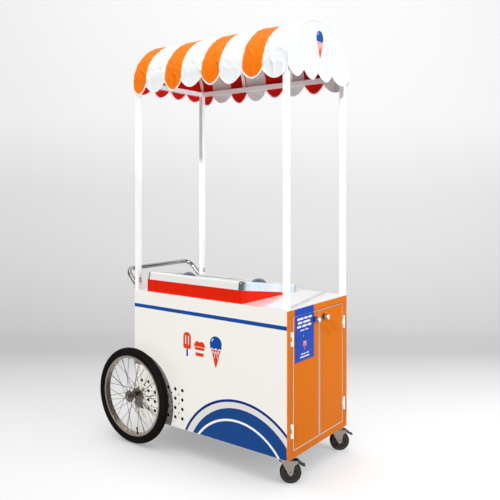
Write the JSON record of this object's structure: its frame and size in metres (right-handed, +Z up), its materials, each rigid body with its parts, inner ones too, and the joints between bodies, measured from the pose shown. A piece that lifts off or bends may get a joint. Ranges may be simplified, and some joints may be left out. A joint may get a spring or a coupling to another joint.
{
  "type": "push vending cart",
  "caption": "Push vending cart: cabinet on spoked wheels and casters, ice-cream chest with sliding glass lids, storage doors, striped barrel canopy on posts.",
  "frame": {"origin": "on the floor, under the middle of the overall box in X and Y", "axes": "+Z up; +X along the cart towards the storage doors, the push handle is at -X; +Y to the left of the person pushing"},
  "size_m": [1.2435, 0.794, 2.19],
  "materials": {
    "frame_black": "satin powder coat",
    "galvanised": "galvanised sheet",
    "white_panel": "semi-gloss powder coat",
    "door_orange": "gloss paint",
    "chest_red": "gloss paint",
    "foam": "rigid foam",
    "stainless": "polished",
    "white_frame": "gloss",
    "corner_grey": "gloss",
    "canopy_fabric": "coated woven fabric, orange and white stripes",
    "zinc": "zinc plated",
    "tyre_rubber": "matt rubber",
    "rim_metal": "satin",
    "caster_rubber": "matt",
    "caster_plastic": "moulded",
    "trim_grey": "satin",
    "knob_black": "gloss",
    "knob_chrome": "polished",
    "lid_glass": "clear toughened glass",
    "grip_grey": "moulded"
  },
  "bodies": {
    "cabinet": {"base_frame": "frame_black", "floor_panel": "galvanised", "side_panel_right": "white_panel", "side_panel_left": "white_panel", "rear_panel": "white_panel", "worktop": "white_panel", "door_surround": "door_orange", "chest_bearers": "galvanised", "chest_plinth": "chest_red", "tub_shell": "galvanised", "tub_insulation": "foam", "tub_liner": "stainless", "lid_frame": "white_frame", "lid_frame_corners": "corner_grey", "push_handle": "stainless", "handle_bolts": "zinc", "canopy_posts": "white_panel", "canopy_rails": "white_panel", "canopy_hoops": "white_panel", "canopy_cover": "canopy_fabric", "axle_plates": "white_panel", "wheel_fasteners": "zinc", "wheel_axle_right": "zinc", "wheel_axle_left": "zinc", "hinge_frame_leaves": "white_panel", "hinge_pins": "stainless", "caster_plates": "zinc", "caster_bolts": "zinc", "cooling_unit": "frame_black"},
    "main_wheel_right": {"tyre_right": "tyre_rubber", "rim_right": "rim_metal", "spokes_right": "stainless", "hub_right": "rim_metal"},
    "main_wheel_left": {"tyre_left": "tyre_rubber", "rim_left": "rim_metal", "spokes_left": "stainless", "hub_left": "rim_metal"},
    "caster_swivel_right": {"caster_fork_right": "zinc"},
    "caster_wheel_right": {"caster_tread_right": "caster_rubber", "caster_core_right": "caster_plastic"},
    "caster_pedal_right": {"brake_pedal_right": "caster_plastic"},
    "caster_swivel_left": {"caster_fork_left": "zinc"},
    "caster_wheel_left": {"caster_tread_left": "caster_rubber", "caster_core_left": "caster_plastic"},
    "caster_pedal_left": {"brake_pedal_left": "caster_plastic"},
    "door_right": {"door_panel_right": "door_orange", "door_trim_right": "trim_grey", "door_hinge_right": "white_panel", "knob_base_right": "knob_black"},
    "knob_right": {"knob_right": "knob_chrome"},
    "door_left": {"door_panel_left": "door_orange", "door_trim_left": "trim_grey", "door_hinge_left": "white_panel", "knob_base_left": "knob_black"},
    "knob_left": {"knob_left": "knob_chrome"},
    "lid_rear": {"lid_glass_rear": "lid_glass", "lid_grip_rear": "grip_grey"},
    "lid_front": {"lid_glass_front": "lid_glass", "lid_grip_front": "grip_grey"}
  },
  "joints": [
    {"name": "main_wheel_spin_right", "type": "hinge", "parent": "cabinet", "child": "main_wheel_right", "pos_m": [-0.3676, -0.342, 0.254], "axis": [0, 1, 0], "continuous": true},
    {"name": "main_wheel_spin_left", "type": "hinge", "parent": "cabinet", "child": "main_wheel_left", "pos_m": [-0.3676, 0.342, 0.254], "axis": [0, 1, 0], "continuous": true},
    {"name": "caster_swivel_right", "type": "hinge", "parent": "cabinet", "child": "caster_swivel_right", "pos_m": [0.5364, -0.237, 0.11], "axis": [0, 0, 1], "continuous": true},
    {"name": "caster_spin_right", "type": "hinge", "parent": "caster_swivel_right", "child": "caster_wheel_right", "pos_m": [0.55876, -0.22015, 0.05], "axis": [-0.6018, 0.7986, 0], "continuous": true},
    {"name": "brake_pedal_right", "type": "hinge", "parent": "caster_swivel_right", "child": "caster_pedal_right", "pos_m": [0.58112, -0.2033, 0.101], "axis": [-0.6018, 0.7986, 0], "range_deg": [0, 15]},
    {"name": "caster_swivel_left", "type": "hinge", "parent": "cabinet", "child": "caster_swivel_left", "pos_m": [0.5364, 0.237, 0.11], "axis": [0, 0, 1], "continuous": true},
    {"name": "caster_spin_left", "type": "hinge", "parent": "caster_swivel_left", "child": "caster_wheel_left", "pos_m": [0.55876, 0.25385, 0.05], "axis": [-0.6018, 0.7986, 0], "continuous": true},
    {"name": "brake_pedal_left", "type": "hinge", "parent": "caster_swivel_left", "child": "caster_pedal_left", "pos_m": [0.58112, 0.2707, 0.101], "axis": [-0.6018, 0.7986, 0], "range_deg": [0, 15]},
    {"name": "door_swing_right", "type": "hinge", "parent": "cabinet", "child": "door_right", "pos_m": [0.5894, -0.2485, 0.466], "axis": [0, 0, -1], "range_deg": [0, 110]},
    {"name": "knob_turn_right", "type": "hinge", "parent": "door_right", "child": "knob_right", "pos_m": [0.5844, -0.043, 0.736], "axis": [-1, 0, 0], "range_deg": [0, 90]},
    {"name": "door_swing_left", "type": "hinge", "parent": "cabinet", "child": "door_left", "pos_m": [0.5894, 0.2485, 0.466], "axis": [0, 0, 1], "range_deg": [0, 110]},
    {"name": "knob_turn_left", "type": "hinge", "parent": "door_left", "child": "knob_left", "pos_m": [0.5844, 0.043, 0.736], "axis": [1, 0, 0], "range_deg": [0, 90]},
    {"name": "lid_slide_rear", "type": "slide", "parent": "cabinet", "child": "lid_rear", "axis": [1, 0, 0], "range_m": [0, 0.19]},
    {"name": "lid_slide_front", "type": "slide", "parent": "cabinet", "child": "lid_front", "axis": [1, 0, 0], "range_m": [-0.19, 0]}
  ]
}
